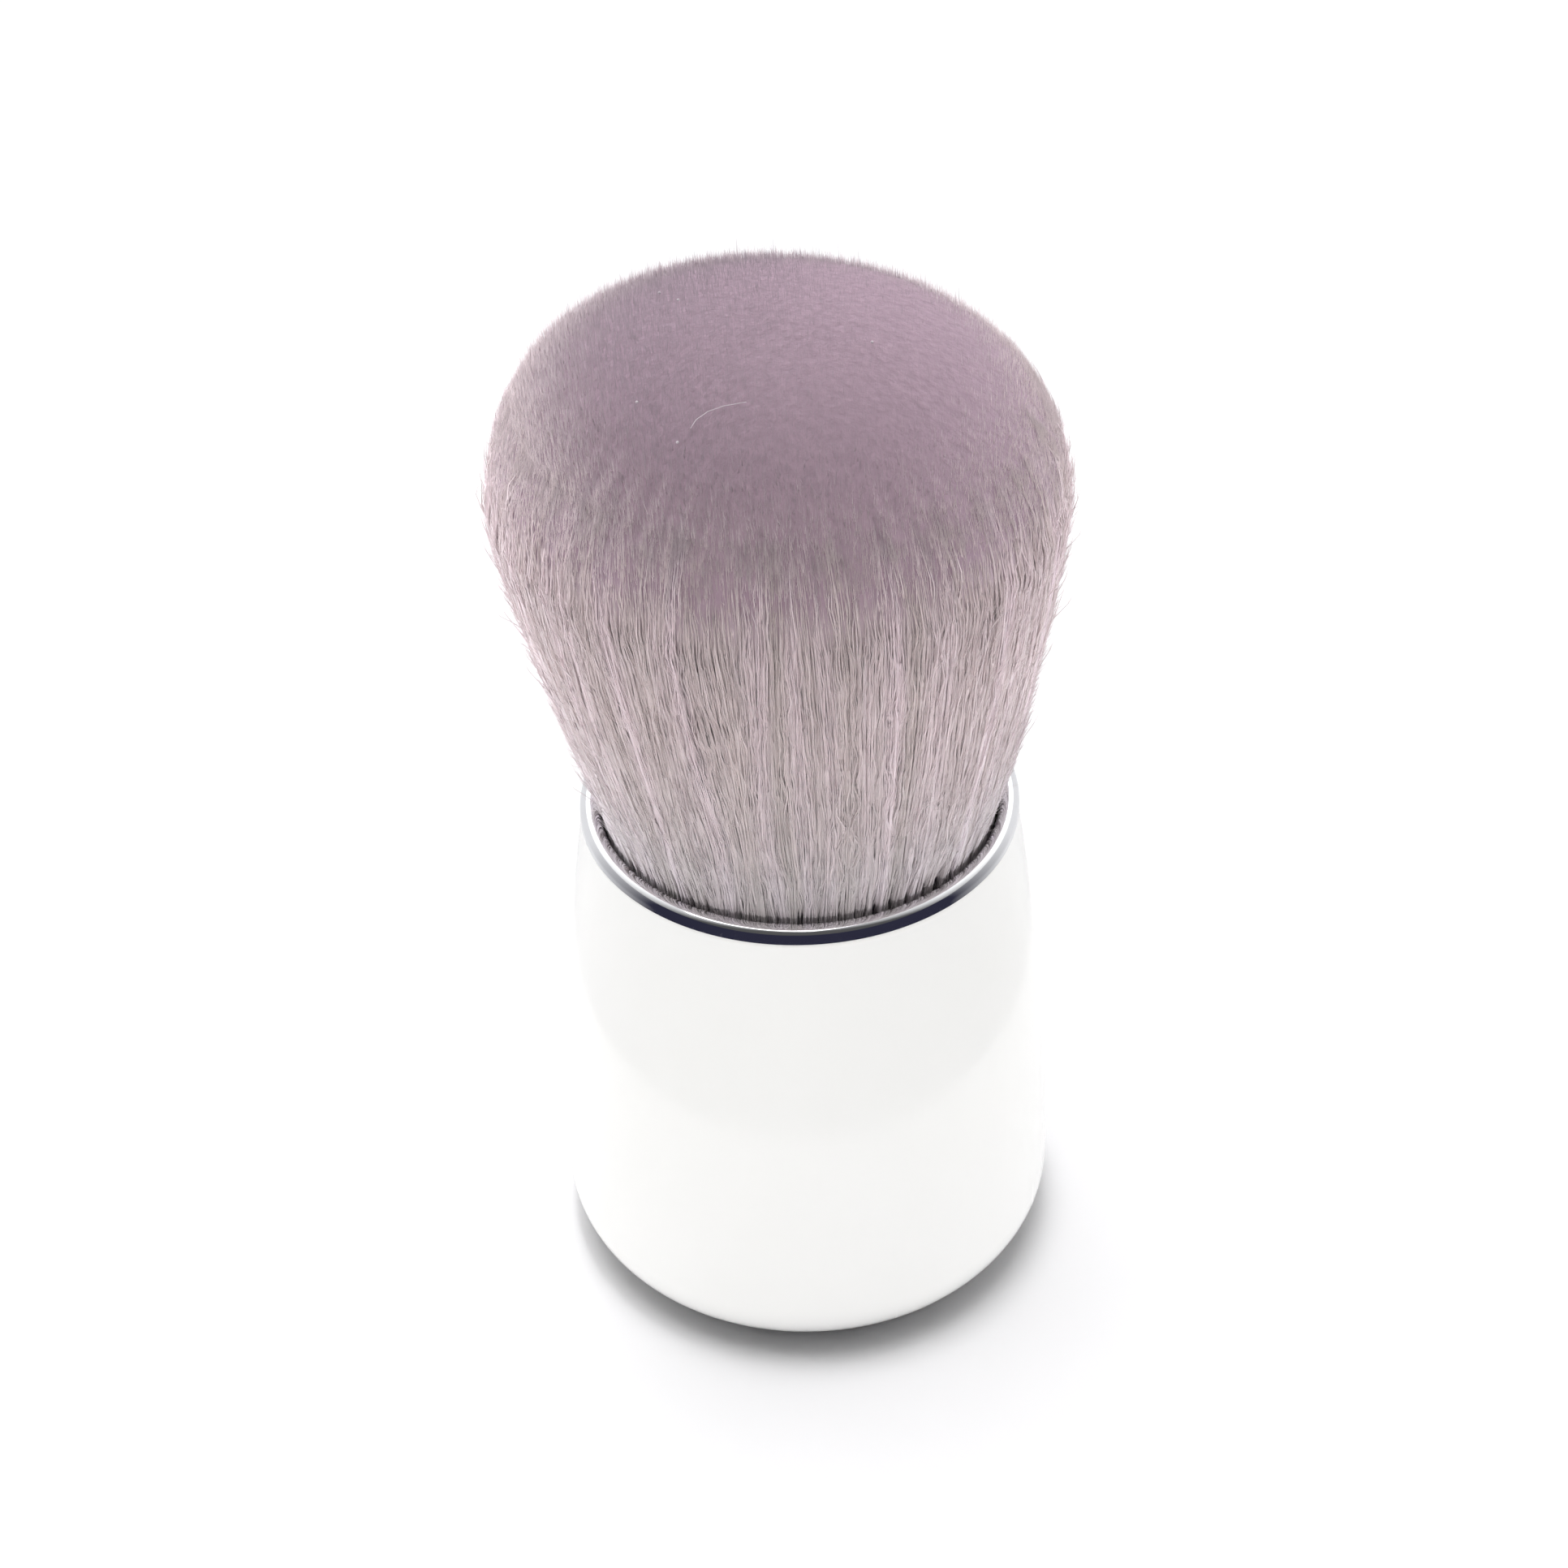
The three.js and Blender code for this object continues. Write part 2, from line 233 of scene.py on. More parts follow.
def turn_on_lathe(name, outline, closed):
    """Draws an outline point by point and spins it round the brush's axis."""
    points = [outline[0]]
    for point in outline[1:]:
        if math.dist(point, points[-1]) > SAME_SPOT:
            points.append(point)
    if closed:
        points.append(points[0])
    deselect_everything()
    bpy.ops.mesh.primitive_plane_add(size=MM, location=(0, 0, 0))
    piece = bpy.context.object
    piece.name = name
    piece.data.name = name
    bpy.ops.object.mode_set(mode="EDIT")
    bpy.ops.mesh.select_all(action="SELECT")
    bpy.ops.mesh.merge(type="CENTER")
    bpy.ops.transform.translate(value=(points[0][0], 0, points[0][1]))
    for (r0, z0), (r1, z1) in zip(points, points[1:]):
        step = {"value": (r1 - r0, 0, z1 - z0)}
        bpy.ops.mesh.extrude_region_move(TRANSFORM_OT_translate=step)
    bpy.ops.mesh.select_all(action="SELECT")
    bpy.ops.mesh.spin(steps=LATHE_STEPS, angle=math.tau, center=(0, 0, 0), axis=(0, 0, 1))
    bpy.ops.mesh.select_all(action="SELECT")
    bpy.ops.mesh.remove_doubles(threshold=MERGE_DISTANCE)
    bpy.ops.mesh.normals_make_consistent(inside=False)
    bpy.ops.object.mode_set(mode="OBJECT")
    bpy.ops.object.shade_smooth_by_angle(angle=EDGE_ANGLE)
    return piece


def finish_piece(piece, material, body=None, replaces=()):
    piece.data.materials.clear()
    piece.data.materials.append(material)
    if body:
        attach(piece, body)
    else:
        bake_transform(piece)
    if replaces:
        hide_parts(*replaces)


# Material helpers

def new_material(name):
    material = bpy.data.materials.new(name)
    material.use_nodes = True
    nodes = material.node_tree.nodes
    return material, nodes, material.node_tree.links, nodes["Principled BSDF"]


def new_group(name, inputs, outputs):
    """A shader node group with float or vector inputs and float outputs."""
    group = bpy.data.node_groups.new(name, "ShaderNodeTree")
    for socket, kind, value in inputs:
        made = group.interface.new_socket(socket, in_out="INPUT", socket_type=kind)
        if value is not None:
            made.default_value = value
    for socket in outputs:
        group.interface.new_socket(socket, in_out="OUTPUT", socket_type="NodeSocketFloat")
    return group, group.nodes.new("NodeGroupInput"), group.nodes.new("NodeGroupOutput")


def place_group(material, group, vector, **values):
    node = material.node_tree.nodes.new("ShaderNodeGroup")
    node.node_tree = group
    material.node_tree.links.new(vector, node.inputs["Vector"])
    for name, value in values.items():
        node.inputs[name].default_value = value
    return node


def math_node(nodes, links, operation, first, second):
    node = nodes.new("ShaderNodeMath")
    node.operation = operation
    for socket, value in zip(node.inputs, (first, second)):
        if isinstance(value, (int, float)):
            socket.default_value = value
        else:
            links.new(value, socket)
    return node.outputs[0]


def map_range(nodes, links, value, from_low, from_high, to_low, to_high):
    node = nodes.new("ShaderNodeMapRange")
    links.new(value, node.inputs["Value"])
    node.inputs["From Min"].default_value = from_low
    node.inputs["From Max"].default_value = from_high
    node.inputs["To Min"].default_value = to_low
    node.inputs["To Max"].default_value = to_high
    return node.outputs["Result"]


def mix_colour(nodes, links, factor, first, second):
    node = nodes.new("ShaderNodeMix")
    node.data_type = "RGBA"
    links.new(factor, node.inputs["Factor"])
    for name, value in (("A", first), ("B", second)):
        socket = next(s for s in node.inputs if s.name == name and s.type == "RGBA")
        if isinstance(value, tuple):
            socket.default_value = (*value, 1)
        else:
            links.new(value, socket)
    return next(s for s in node.outputs if s.type == "RGBA")


def bump(nodes, links, height, distance, strength):
    node = nodes.new("ShaderNodeBump")
    links.new(height, node.inputs["Height"])
    node.inputs["Distance"].default_value = distance
    node.inputs["Strength"].default_value = strength
    return node.outputs["Normal"]


def colour_ramp(nodes, links, value, stops):
    node = nodes.new("ShaderNodeValToRGB")
    links.new(value, node.inputs["Fac"])
    elements = node.color_ramp.elements
    while len(elements) < len(stops):
        elements.new(0.5)
    for element, (place, colour) in zip(elements, stops):
        element.position = place
        element.color = (*colour, 1)
    return node.outputs["Color"]


def make_mottle_group():
    """Slow cloudy change over a surface, from 0 to 1."""
    group, inside, outside = new_group(
        "slow_mottle",
        [("Vector", "NodeSocketVector", None), ("Scale", "NodeSocketFloat", 60.0)], ["Mottle"])
    noise = group.nodes.new("ShaderNodeTexNoise")
    noise.inputs["Detail"].default_value = 4
    group.links.new(inside.outputs["Vector"], noise.inputs["Vector"])
    group.links.new(inside.outputs["Scale"], noise.inputs["Scale"])
    mottle = map_range(group.nodes, group.links, noise.outputs["Fac"], 0.3, 0.7, 0, 1)
    group.links.new(mottle, outside.inputs["Mottle"])
    return group


def make_speck_group():
    """Sparse small specks: 1 on a speck and 0 elsewhere."""
    group, inside, outside = new_group(
        "dust_specks",
        [("Vector", "NodeSocketVector", None), ("Scale", "NodeSocketFloat", 150.0),
         ("Size", "NodeSocketFloat", 0.06)],
        ["Speck"])
    cells = group.nodes.new("ShaderNodeTexVoronoi")
    group.links.new(inside.outputs["Vector"], cells.inputs["Vector"])
    group.links.new(inside.outputs["Scale"], cells.inputs["Scale"])
    separate = group.nodes.new("ShaderNodeSeparateColor")
    group.links.new(cells.outputs["Color"], separate.inputs["Color"])
    chosen = math_node(group.nodes, group.links, "GREATER_THAN", separate.outputs["Red"], 0.86)
    distance, size = cells.outputs["Distance"], inside.outputs["Size"]
    near = math_node(group.nodes, group.links, "LESS_THAN", distance, size)
    group.links.new(math_node(group.nodes, group.links, "MULTIPLY", chosen, near), outside.inputs["Speck"])
    return group


def make_scuff_group():
    """Fine hairline scuffs in crossing directions: 1 on a scuff and 0 elsewhere."""
    group, inside, outside = new_group(
        "hairline_scuffs",
        [("Vector", "NodeSocketVector", None), ("Scale", "NodeSocketFloat", 90.0)], ["Scuff"])
    masks = []
    for turn, stretch in ((0.5, 14.0), (-0.9, 18.0)):
        mapping = group.nodes.new("ShaderNodeMapping")
        mapping.inputs["Rotation"].default_value = (turn, turn * 0.6, turn * 1.7)
        mapping.inputs["Scale"].default_value = (stretch, 0.5, 1.0)
        group.links.new(inside.outputs["Vector"], mapping.inputs["Vector"])
        noise = group.nodes.new("ShaderNodeTexNoise")
        noise.inputs["Detail"].default_value = 2
        group.links.new(mapping.outputs["Vector"], noise.inputs["Vector"])
        group.links.new(inside.outputs["Scale"], noise.inputs["Scale"])
        masks.append(map_range(group.nodes, group.links, noise.outputs["Fac"], 0.69, 0.73, 0, 1))
    both = math_node(group.nodes, group.links, "MAXIMUM", masks[0], masks[1])
    group.links.new(both, outside.inputs["Scuff"])
    return group


def make_ring_group():
    """Fine rings round the brush's axis, as turning and polishing leave, from 0 to 1."""
    group, inside, outside = new_group(
        "lathe_rings",
        [("Vector", "NodeSocketVector", None), ("Scale", "NodeSocketFloat", 9000.0)], ["Rings"])
    split = group.nodes.new("ShaderNodeSeparateXYZ")
    group.links.new(inside.outputs["Vector"], split.inputs["Vector"])
    across = math_node(group.nodes, group.links, "POWER", split.outputs["X"], 2.0)
    deep = math_node(group.nodes, group.links, "POWER", split.outputs["Y"], 2.0)
    total = math_node(group.nodes, group.links, "ADD", across, deep)
    radius = math_node(group.nodes, group.links, "SQRT", total, 0.0)
    combine = group.nodes.new("ShaderNodeCombineXYZ")
    group.links.new(radius, combine.inputs["X"])
    group.links.new(split.outputs["Z"], combine.inputs["Y"])
    noise = group.nodes.new("ShaderNodeTexNoise")
    noise.noise_dimensions = "2D"
    noise.inputs["Detail"].default_value = 2
    group.links.new(combine.outputs["Vector"], noise.inputs["Vector"])
    group.links.new(inside.outputs["Scale"], noise.inputs["Scale"])
    group.links.new(noise.outputs["Fac"], outside.inputs["Rings"])
    return group


MOTTLE = make_mottle_group()
SPECKS = make_speck_group()
SCUFFS = make_scuff_group()
RINGS = make_ring_group()


def object_place(nodes):
    return nodes.new("ShaderNodeTexCoord").outputs["Object"]


def polished_white():
    """Moulded white handle: high gloss, faint orange peel, smears, a few scuffs and specks."""
    material, nodes, links, surface = new_material("polished_white")
    place = object_place(nodes)
    tint = place_group(material, MOTTLE, place, Scale=45.0).outputs["Mottle"]
    smear = place_group(material, MOTTLE, place, Scale=160.0).outputs["Mottle"]
    scuff = place_group(material, SCUFFS, place, Scale=70.0).outputs["Scuff"]
    speck = place_group(material, SPECKS, place, Scale=130.0, Size=0.028).outputs["Speck"]
    white = mix_colour(nodes, links, tint, (0.885, 0.885, 0.872), (0.9, 0.9, 0.894))
    marked = mix_colour(nodes, links, speck, white, (0.42, 0.4, 0.4))
    links.new(marked, surface.inputs["Base Color"])
    smooth = map_range(nodes, links, smear, 0, 1, 0.07, 0.13)
    rubbed = math_node(nodes, links, "MULTIPLY", scuff, 0.14)
    links.new(math_node(nodes, links, "ADD", smooth, rubbed), surface.inputs["Roughness"])
    peel = place_group(material, MOTTLE, place, Scale=1400.0).outputs["Mottle"]
    scored = math_node(nodes, links, "SUBTRACT", math_node(nodes, links, "MULTIPLY", peel, 0.25), scuff)
    links.new(bump(nodes, links, scored, 0.002 * MM, 0.5), surface.inputs["Normal"])
    surface.inputs["IOR"].default_value = 1.5
    surface.inputs["Specular IOR Level"].default_value = 0.35
    return material


def bright_metal():
    """Polished ferrule: mirror bright, with fine polishing rings and a little haze."""
    material, nodes, links, surface = new_material("bright_metal")
    place = object_place(nodes)
    rings = place_group(material, RINGS, place, Scale=9000.0).outputs["Rings"]
    haze = place_group(material, MOTTLE, place, Scale=300.0).outputs["Mottle"]
    scuff = place_group(material, SCUFFS, place, Scale=160.0).outputs["Scuff"]
    metal = mix_colour(nodes, links, haze, (0.78, 0.785, 0.8), (0.84, 0.842, 0.85))
    links.new(metal, surface.inputs["Base Color"])
    shine = map_range(nodes, links, haze, 0, 1, 0.05, 0.1)
    rubbed = math_node(nodes, links, "MULTIPLY", scuff, 0.1)
    links.new(math_node(nodes, links, "ADD", shine, rubbed), surface.inputs["Roughness"])
    links.new(bump(nodes, links, rings, 0.0015 * MM, 0.35), surface.inputs["Normal"])
    surface.inputs["Metallic"].default_value = 1
    return material


def mauve_fibre():
    """Fine dyed fibres: pale lengths, mauve tips, from pale lilac to deeper beige, no two quite
    alike. The map's first coordinate is a fibre's own hue and its second the place along it."""
    material, nodes, links, surface = new_material("mauve_fibre")
    chart = nodes.new("ShaderNodeUVMap")
    chart.uv_map = "OFBake"
    split = nodes.new("ShaderNodeSeparateXYZ")
    links.new(chart.outputs["UV"], split.inputs["Vector"])
    own_hue, along = split.outputs["X"], split.outputs["Y"]
    lilac = colour_ramp(nodes, links, along, LILAC_DYE)
    beige = colour_ramp(nodes, links, along, BEIGE_DYE)
    dyed = mix_colour(nodes, links, own_hue, lilac, beige)
    lot = nodes.new("ShaderNodeTexWhiteNoise")
    lot.noise_dimensions = "1D"
    lot_number = math_node(nodes, links, "MULTIPLY", own_hue, DYE_LOTS)
    links.new(math_node(nodes, links, "FLOOR", lot_number, 0.0), lot.inputs["W"])
    own_depth = map_range(nodes, links, lot.outputs["Value"], 0, 1, 0.87, 1.13)
    lock_depth = map_range(nodes, links, own_hue, 0.1, 0.9, 1.1, 0.9)
    depth = math_node(nodes, links, "MULTIPLY", own_depth, lock_depth)
    shaded = nodes.new("ShaderNodeVectorMath")
    shaded.operation = "SCALE"
    links.new(dyed, shaded.inputs[0])
    links.new(depth, shaded.inputs["Scale"])
    links.new(shaded.outputs["Vector"], surface.inputs["Base Color"])
    links.new(map_range(nodes, links, lot.outputs["Value"], 0, 1, 0.52, 0.64), surface.inputs["Roughness"])
    surface.inputs["Sheen Weight"].default_value = 0.25
    surface.inputs["Sheen Roughness"].default_value = 0.5
    return material


# Handle

def handle_outline():
    lip_round = LIP_LEVEL - LIP_FILLET
    rise = lip_round - BASE_FILLET
    neck_drop = SHOULDER_FULLNESS * rise
    belly_pull = (HANDLE_RADIUS, BASE_FILLET + BELLY_FULLNESS * rise)
    neck_pull = (LIP_RADIUS + neck_drop * math.tan(NECK_TAPER), lip_round - neck_drop)
    ring_inner = BASE_RING_RADIUS - BASE_RING_WIDTH / 2
    ring_outer = BASE_RING_RADIUS + BASE_RING_WIDTH / 2
    outline = [(0, 0), (ring_inner, 0)]
    outline += arc((BASE_RING_RADIUS, 0), (BASE_RING_WIDTH / 2, BASE_RING_DEPTH), 180, 0, 6)
    outline += [(ring_outer, 0)]
    outline += arc((HANDLE_RADIUS - BASE_FILLET, BASE_FILLET), (BASE_FILLET, BASE_FILLET), -90, 0, 16)
    outline += sweep((HANDLE_RADIUS, BASE_FILLET), belly_pull, neck_pull, (LIP_RADIUS, lip_round), 28)
    outline += arc((LIP_RADIUS - LIP_FILLET, lip_round), (LIP_FILLET, LIP_FILLET), 0, 90, 6)
    outline += [(BORE_RADIUS, LIP_LEVEL), (BORE_RADIUS, BORE_FLOOR), (HOLLOW_RADIUS, BORE_FLOOR)]
    outline += [(HOLLOW_RADIUS, FLOOR_THICKNESS), (0, FLOOR_THICKNESS)]
    return outline


def make_handle(material):
    barrel = turn_on_lathe("handle_barrel", handle_outline(), closed=False)
    finish_piece(barrel, material, body="handle", replaces=["handle_shell"])
    return barrel


# Ferrule

def ferrule_outline():
    hem = FERRULE_INNER_RADIUS - FERRULE_HEM
    outer = FERRULE_INNER_RADIUS + FERRULE_WALL
    bend = FERRULE_WALL
    roll_centre = (RIM_RADIUS - RIM_ROLL, LIP_LEVEL + RIM_HEIGHT - RIM_ROLL)
    outline = [(hem, FERRULE_BOTTOM)]
    outline += arc((outer - bend, FERRULE_BOTTOM + bend), (bend, bend), -90, 0, 4)
    outline += [(outer, LIP_LEVEL), (RIM_RADIUS, LIP_LEVEL)]
    outline += arc(roll_centre, (RIM_ROLL, RIM_ROLL), 0, 180, 24)
    outline += [(FERRULE_INNER_RADIUS, LIP_LEVEL), (FERRULE_INNER_RADIUS, FERRULE_BOTTOM + FERRULE_WALL)]
    outline += [(hem, FERRULE_BOTTOM + FERRULE_WALL)]
    return outline


def make_ferrule(material):
    cup = turn_on_lathe("ferrule_cup", ferrule_outline(), closed=True)
    finish_piece(cup, material, body="handle", replaces=["ferrule"])


# Fibre bundle

def smooth_step(low, high, value):
    share = np.clip((value - low) / (high - low), 0, 1)
    return share * share * (3 - 2 * share)


def bundle_radius(level):
    """Outside of the fibre bundle at a level above the lip."""
    share = np.clip(level / WIDEST_LEVEL, 0, 1)
    return MOUTH_RADIUS + (HEAD_RADIUS - MOUTH_RADIUS) * (1 - (1 - share) ** FLARE_POWER)


def dome_level(share):
    """Level of the dome above the lip, at a share of the head's radius."""
    rise = HEAD_HEIGHT - WIDEST_LEVEL
    return WIDEST_LEVEL + rise * (1 - np.clip(share, 0, 1) ** DOME_POWER) ** (1 / DOME_POWER)


def bundle_share(share, level):
    """Share of the radius that a fibre keeps: outer fibres curve in under the dome's shoulder."""
    rise = np.clip((level - WIDEST_LEVEL) / (HEAD_HEIGHT - WIDEST_LEVEL), 0, 0.999)
    skin = (1 - rise ** DOME_POWER) ** (1 / DOME_POWER)
    sharpness = 40
    share = np.maximum(share, 0.001)
    return share * (1 + (share / skin) ** sharpness * (rise > 0)) ** (-1 / sharpness)


def left_splay(angle, level):
    """At the left shoulder a few locks stand out, and the tips above them lie closer."""
    here = np.exp(-((angle - math.pi) / SPLAY_WIDTH) ** 2)
    bulge = smooth_step(*SPLAY_RISE, level) - SPLAY_RETURN * smooth_step(*SPLAY_FALL, level)
    return SPLAY_DEPTH * here * bulge


class Waves:
    """Smooth random waves over the bundle's side, which gather fibres into locks.
    Each goes a whole number of times round, so that no seam shows."""

    def __init__(self, count, across, along):
        turns = np.round(math.tau * HEAD_RADIUS / rng.uniform(*across, count))
        self.across = turns / HEAD_RADIUS
        self.along = math.tau / rng.uniform(*along, count) * rng.choice([-1, 1], count)
        self.depth = rng.normal(0, 900, count)
        self.phase = rng.uniform(0, math.tau, count)
        self.weight = np.sqrt(2 / count)

    def at(self, angle, level=0.0, depth=0.0):
        around = angle * HEAD_RADIUS
        total = np.zeros(np.broadcast(around, level, depth).shape)
        for k, m, d, p in zip(self.across, self.along, self.depth, self.phase):
            total += np.sin(k * around + m * level + d * depth + p)
        return total * self.weight


CRINKLE = Waves(16, (1.5 * MM, 4.0 * MM), (3.0 * MM, 7.0 * MM))
BROAD_DRIFT = Waves(8, (5 * MM, 16 * MM), (20 * MM, 60 * MM))
RELIEF = Waves(14, (0.6 * MM, 1.8 * MM), (9 * MM, 30 * MM))
FOOT_LOCKS = Waves(12, (0.7 * MM, 1.6 * MM), (60 * MM, 90 * MM))
FOOT_RELIEF = Waves(12, (0.8 * MM, 2.0 * MM), (60 * MM, 90 * MM))
TIP_STAGGER = Waves(12, (1.0 * MM, 9 * MM), (20 * MM, 80 * MM))
HUE_PATCH = Waves(14, (1.2 * MM, 9 * MM), (25 * MM, 90 * MM))
PALE_STREAKS = Waves(14, (0.6 * MM, 3 * MM), (25 * MM, 90 * MM))


def model_fibre_blank(rings):
    """One plain fibre: a three-sided spike, one unit high and wide, cut into rings.
    Gives its corners' angles and heights and its triangles. One edge faces outwards, at angle 0."""
    deselect_everything()
    bpy.ops.mesh.primitive_cone_add(vertices=3, radius1=1, radius2=0, depth=1, location=(0, 0, 0.5))
    blank = bpy.context.object
    bpy.ops.object.transform_apply(location=True)
    bpy.ops.object.mode_set(mode="EDIT")
    for height in np.arange(1, rings) / rings:
        bpy.ops.mesh.select_all(action="SELECT")
        bpy.ops.mesh.bisect(plane_co=(0, 0, height), plane_no=(0, 0, 1))
    bpy.ops.mesh.select_all(action="SELECT")
    bpy.ops.mesh.quads_convert_to_tris()
    bpy.ops.object.mode_set(mode="OBJECT")
    corners = np.array([v.co for v in blank.data.vertices])
    faces = np.array([p.vertices for p in blank.data.polygons])
    bpy.data.objects.remove(blank)
    return np.arctan2(-corners[:, 0], corners[:, 1]), corners[:, 2], faces


def fibre_mesh(name, places, faces, chart):
    """Joins fibres into one piece. places: fibres x corners x 3; chart: fibres x corners x 2."""
    count, corners, _ = places.shape
    mesh = bpy.data.meshes.new(name)
    all_faces = (faces[None] + (np.arange(count) * corners)[:, None, None]).reshape(-1)
    total = len(all_faces) // 3
    mesh.vertices.add(count * corners)
    mesh.vertices.foreach_set("co", places.astype(np.float32).ravel())
    mesh.loops.add(len(all_faces))
    mesh.loops.foreach_set("vertex_index", all_faces.astype(np.int32))
    mesh.polygons.add(total)
    mesh.polygons.foreach_set("loop_start", np.arange(0, 3 * total, 3, dtype=np.int32))
    mesh.polygons.foreach_set("use_smooth", np.ones(total, bool))
    layer = mesh.uv_layers.new(name="OFBake")
    layer.data.foreach_set("uv", chart.reshape(-1, 2)[all_faces].astype(np.float32).ravel())
    mesh.update(calc_edges=True)
    mesh.validate()
    piece = bpy.data.objects.new(name, mesh)
    bpy.context.scene.collection.objects.link(piece)
    return piece


def lean(x, level):
    return x - BUNDLE_LEAN * np.clip(level - LEAN_FOOT, 0, None)


def scatter(count, inner, outer, first, slip=SCATTER_SLIP):
    """Even scatter over the bundle's round, between two shares of its radius: each fibre goes
    a golden angle further round than the one before, with a little slip."""
    order = np.arange(count) + 0.5
    share = np.sqrt(inner ** 2 + (outer ** 2 - inner ** 2) * order / count)
    golden = math.pi * (3 - math.sqrt(5))
    angle = first + order * golden + rng.normal(0, slip, count) / np.maximum(share * HEAD_RADIUS, MM)
    share = np.clip(share + rng.normal(0, slip, count) / HEAD_RADIUS, 0.0, 1.0)
    return share, np.mod(angle, math.tau)


def hugging(share):
    """How far a fibre belongs to the outer skin that lies up over the dome's shoulder: 0 to 1."""
    return smooth_step(0.88, 0.98, share)


def dome_walk(shares):
    """Distance over the dome's outside from its top, at each of some rising shares of the radius."""
    steps = np.hypot(np.diff(shares) * HEAD_RADIUS, np.diff(dome_level(shares)))
    return np.concatenate([[0], np.cumsum(steps)])


DOME_SHARES = np.sin(np.linspace(0, math.pi / 2, DOME_STEPS))
DOME_WALK = dome_walk(DOME_SHARES)


def away_from_front(angle):
    """0 at the front of the bundle, 1 at its flanks and a little less at its back."""
    turn = np.abs(np.mod(angle + math.pi / 2 + math.pi, math.tau) - math.pi)
    return smooth_step(0.35, 1.35, turn) * (1 - 0.25 * smooth_step(1.8, 2.8, turn))


def dye_fade_and_painted_light(share, angle, level, depth):
    """How far the mauve of the tips has given way to the pale lengths, from 0 to 1. It does so with
    the way over the dome and down the side, late at the front. Coming earlier and slower at the flanks
    and the back, it is painted light: paler fibres where lamps behind and beside would light them."""
    aside = away_from_front(angle)
    walk = np.interp(share, DOME_SHARES, DOME_WALK) + dome_level(share) - level
    walk = walk + PALE_STREAK * PALE_STREAKS.at(angle, 0.0, depth) + rng.normal(0, PALE_SPREAD, share.shape)
    edge = DOME_WALK[-1]
    start = edge - PALE_START - PAINTED_LIGHT_START_ASIDE * aside
    return smooth_step(start, edge - PALE_END - PAINTED_LIGHT_END_ASIDE * aside, walk)


def tip_level(share, angle, spread):
    """Level of each fibre's tip: on the dome, uneven, with some fibres standing proud."""
    count = len(share)
    stagger = 0.8 + 0.4 * TIP_STAGGER.at(angle) + 0.5 * rng.normal(0, 1, count)
    level = dome_level(share) - DOME_TILT * share * HEAD_RADIUS * np.cos(angle)
    level = level + SHOULDER_REACH * hugging(share) * np.clip(stagger, 0, 2.4)
    level = level + rng.normal(0, 1, count) * spread
    proud = rng.exponential(PROUD_LENGTH, count) * (0.4 + 0.6 * smooth_step(0.5, 0.85, share))
    return level + np.where(rng.uniform(0, 1, count) < PROUD_SHARE, proud, 0)


